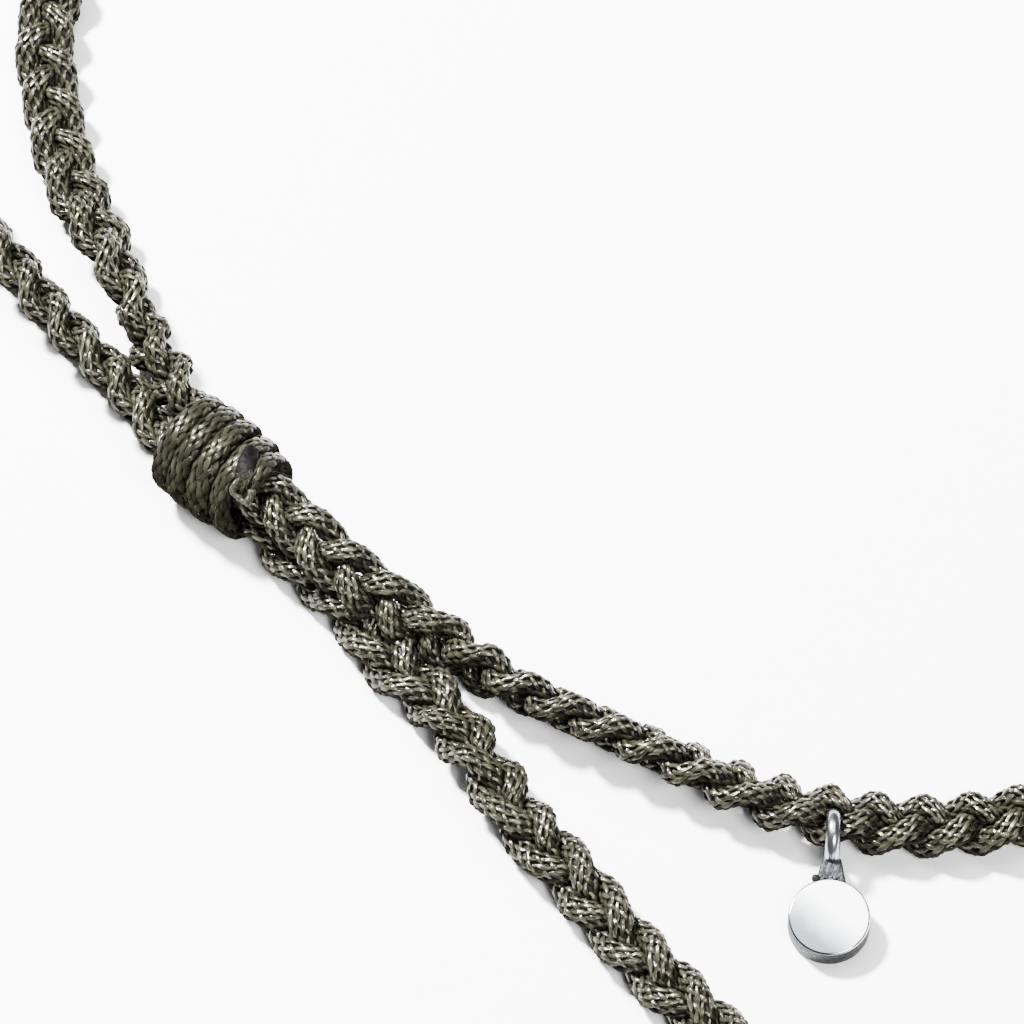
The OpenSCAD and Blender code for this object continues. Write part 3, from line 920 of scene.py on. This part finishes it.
def silverFinish(name, look):
    made, tree = newMaterial(name)
    where = addNode(tree, "ShaderNodeTexCoord").outputs["Object"]
    local = addNode(tree, "ShaderNodeMapping", {"Location": [-each for each in tagFace]}, {"Vector": where})
    grain = addNoise(tree, where, look["scale"], silverMake["detail"])
    roughness = [look["roughness"] * share for share in silverMake["roughnessShares"]]
    # painted shade: the colour darkens along this slope toward the tag's lower side
    slope = addDot(tree, local.outputs["Vector"], silverMake["shadeSlope"])
    grainAndShade = addMath(tree, "MULTIPLY_ADD", grain, look["grainShare"], slope)
    color = addRamp(tree, grainAndShade, look["colors"], (0.0, look["darkEnd"]), "EASE")
    shader = addNode(tree, "ShaderNodeBsdfPrincipled", {"Metallic": 1.0},
                     {"Roughness": addRange(tree, grain, (0.0, 1.0), roughness), "Base Color": color})
    finishMaterial(tree, shader, addBump(tree, grain, look["bumpDepth"], look["scratch"]))
    return made


def applyModifiers(piece):
    deselectAll()
    piece.select_set(True)
    bpy.context.view_layer.objects.active = piece
    for modifier in list(piece.modifiers):
        bpy.ops.object.modifier_apply(modifier=modifier.name)


def roundEdges(piece, width, segments):
    bevel = piece.modifiers.new("roundEdges", "BEVEL")
    bevel.limit_method = "ANGLE"
    bevel.angle_limit = math.radians(tagMake["sharpAngle"])
    bevel.width = width
    bevel.segments = segments
    applyModifiers(piece)


def unite(piece, other, operation="UNION"):
    joined = piece.modifiers.new("joined", "BOOLEAN")
    joined.operation = operation
    joined.solver = "EXACT"
    joined.object = other
    applyModifiers(piece)
    bpy.data.objects.remove(other)


def unitePrimitive(piece, add, operation="UNION", **settings):
    deselectAll()
    add(**settings)
    unite(piece, bpy.context.active_object, operation)


def tagMaterial(middle, faceMiddle, size):      # polished on the face, tumbled on the ring, rough elsewhere
    fromDisc = math.hypot(middle.x, middle.y - faceMiddle)
    if fromDisc > size["faceD"] / 2 + tagMake["spare"]:
        return 1 if middle.y > -size["ringD"] / 2 - tagMake["ringBelow"] else 2
    return 0 if middle.z > size["thickness"] / 2 - tagMake["rim"] * tagMake["polishedRim"] else 2


def addTag():       # modelled level in millimetres with its ring at the origin, then brought to its place
    names = ("ringD", "wire", "faceD", "thickness", "reach", "neckThickness", "neckSink")
    size = {name: tagSize[name] / mm for name in names}
    neckTop, neckFoot = [width / mm for width in tagSize["neckWidth"]]
    faceMiddle = -size["reach"]
    deselectAll()
    bpy.ops.mesh.primitive_cylinder_add(vertices=tagMake["roundFaces"], radius=size["faceD"] / 2,
                                        depth=size["thickness"], location=(0, faceMiddle, 0))
    disc = bpy.context.active_object
    disc.name = "silver_tag"
    bpy.ops.object.transform_apply(location=True, rotation=True, scale=True)
    roundEdges(disc, tagMake["rim"], tagMake["rimSegments"])

    deselectAll()
    wireMiddle = (size["ringD"] - size["wire"]) / 2
    bpy.ops.mesh.primitive_torus_add(major_radius=wireMiddle, minor_radius=size["wire"] / 2,
                                     major_segments=tagMake["roundFaces"],
                                     minor_segments=tagMake["wireFaces"], rotation=(0, math.pi / 2, 0))
    ring = bpy.context.active_object
    bpy.ops.object.transform_apply(location=True, rotation=True, scale=True)

    top = -wireMiddle
    foot = -size["reach"] + size["faceD"] / 2 - size["neckSink"]
    deselectAll()
    bpy.ops.mesh.primitive_cube_add(size=1, location=(0, (top + foot) / 2, 0),
                                    scale=(neckTop, top - foot, size["neckThickness"]))
    neck = bpy.context.active_object
    bpy.ops.object.transform_apply(location=True, rotation=True, scale=True)
    for vertex in neck.data.vertices:
        atFoot = vertex.co.y < (top + foot) / 2
        vertex.co.x *= neckFoot / neckTop if atFoot else tagMake["waist"]
    roundEdges(neck, tagMake["neckRounding"], tagMake["neckSegments"])
    unite(disc, neck)
    unite(disc, ring)

    addBall = bpy.ops.mesh.primitive_uv_sphere_add
    segments, rings = tagMake["beadFaces"]
    unitePrimitive(disc, addBall, segments=segments, ring_count=rings, radius=tagMake["bead"]["d"] / 2,
                   location=tagMake["bead"]["at"])
    segments, rings = tagMake["pitFaces"]
    for x, y in tagMake["pits"]:
        unitePrimitive(disc, addBall, "DIFFERENCE", segments=segments, ring_count=rings,
                       radius=tagMake["pitD"] / 2, location=(x, y, size["neckThickness"] / 2))

    disc.data.materials.clear()
    for material in (polishedSilver, ringSilver, roughSilver):
        disc.data.materials.append(material)
    for polygon in disc.data.polygons:
        polygon.material_index = tagMaterial(polygon.center, faceMiddle, size)
    turn = Matrix.Rotation(math.radians(tagSize["turn"]), 4, "Z")
    lean = Matrix.Rotation(math.radians(tagSize["lean"]), 4, "X")
    disc.data.transform(Matrix.Translation(Vector(tagSize["ring"])) @ turn @ lean @ Matrix.Scale(mm, 4))
    deselectAll()
    disc.select_set(True)
    bpy.context.view_layer.objects.active = disc
    bpy.ops.object.shade_smooth_by_angle(angle=math.radians(tagMake["sharpAngle"]))
    place(disc, "tag")
    print("tag faces", len(disc.data.polygons))


# Silver: the face polished to a mirror with painted shade darkening its lower side, the ring tumbled, and
# the disc's edge and the neck left rough and dark

tagFace = Vector(tagSize["ring"]) + Vector((silverMake["faceAside"], -tagSize["reach"], 0))
polishedSilver = silverFinish("silverPolished", {
    "colors": ("#dfe1e5", "#5d6167"), "darkEnd": 0.7, "grainShare": 0.25, "roughness": 0.14,
    "scratch": 0.04, "scale": 900.0, "bumpDepth": 0.02 * mm})
ringSilver = silverFinish("silverTumbled", {
    "colors": ("#8b8c91", "#5a5b60"), "darkEnd": 1.0, "grainShare": 1.0, "roughness": 0.22,
    "scratch": 0.5, "scale": 1600.0, "bumpDepth": 0.03 * mm})
roughSilver = silverFinish("silverRoughEdge", {
    "colors": ("#2a2b2e", "#131314"), "darkEnd": 1.0, "grainShare": 1.3, "roughness": 0.5,
    "scratch": 1.0, "scale": 4200.0, "bumpDepth": 0.12 * mm})
addTag()
print("tag made")


# Table and light

studio = {
    "tableSize": 1.2, "tableColor": "#d8d8d8", "tableRoughness": 0.9,
    "lights": {
        "key": {"at": (-0.3, 0.22, 0.48), "size": 0.08, "power": 55.0},
        "top": {"at": (-0.016, 0.26, 0.95), "size": 0.7, "power": 18.0},
        "fill": {"at": (0.25, -0.45, 0.6), "size": 0.3, "power": 14.0},
    },
    "world": 0.3,
}


def addTable():
    deselectAll()
    bpy.ops.mesh.primitive_plane_add(size=studio["tableSize"], location=(0, 0, 0))
    table = bpy.context.active_object
    table.name = "table"
    made, tree = newMaterial("whiteTable")
    shader = addNode(tree, "ShaderNodeBsdfPrincipled",
                     {"Base Color": hexColor(studio["tableColor"]), "Roughness": studio["tableRoughness"]})
    finishMaterial(tree, shader)
    table.data.materials.append(made)


def addAreaLight(name, settings):
    data = bpy.data.lights.new(name, "AREA")
    data.size = settings["size"]
    data.energy = settings["power"]
    light = bpy.data.objects.new(name, data)
    bpy.context.scene.collection.objects.link(light)
    light.location = settings["at"]
    toward = Vector(view["aim"]) - light.location
    light.rotation_euler = toward.to_track_quat("-Z", "Y").to_euler()


def addWorld():
    world = bpy.data.worlds.new("studio")
    world.use_nodes = True
    background = world.node_tree.nodes["Background"]
    background.inputs["Color"].default_value = (1, 1, 1, 1)
    background.inputs["Strength"].default_value = studio["world"]
    bpy.context.scene.world = world


addTable()
for name, settings in studio["lights"].items():
    addAreaLight(name, settings)
addWorld()
print("table and lights set")
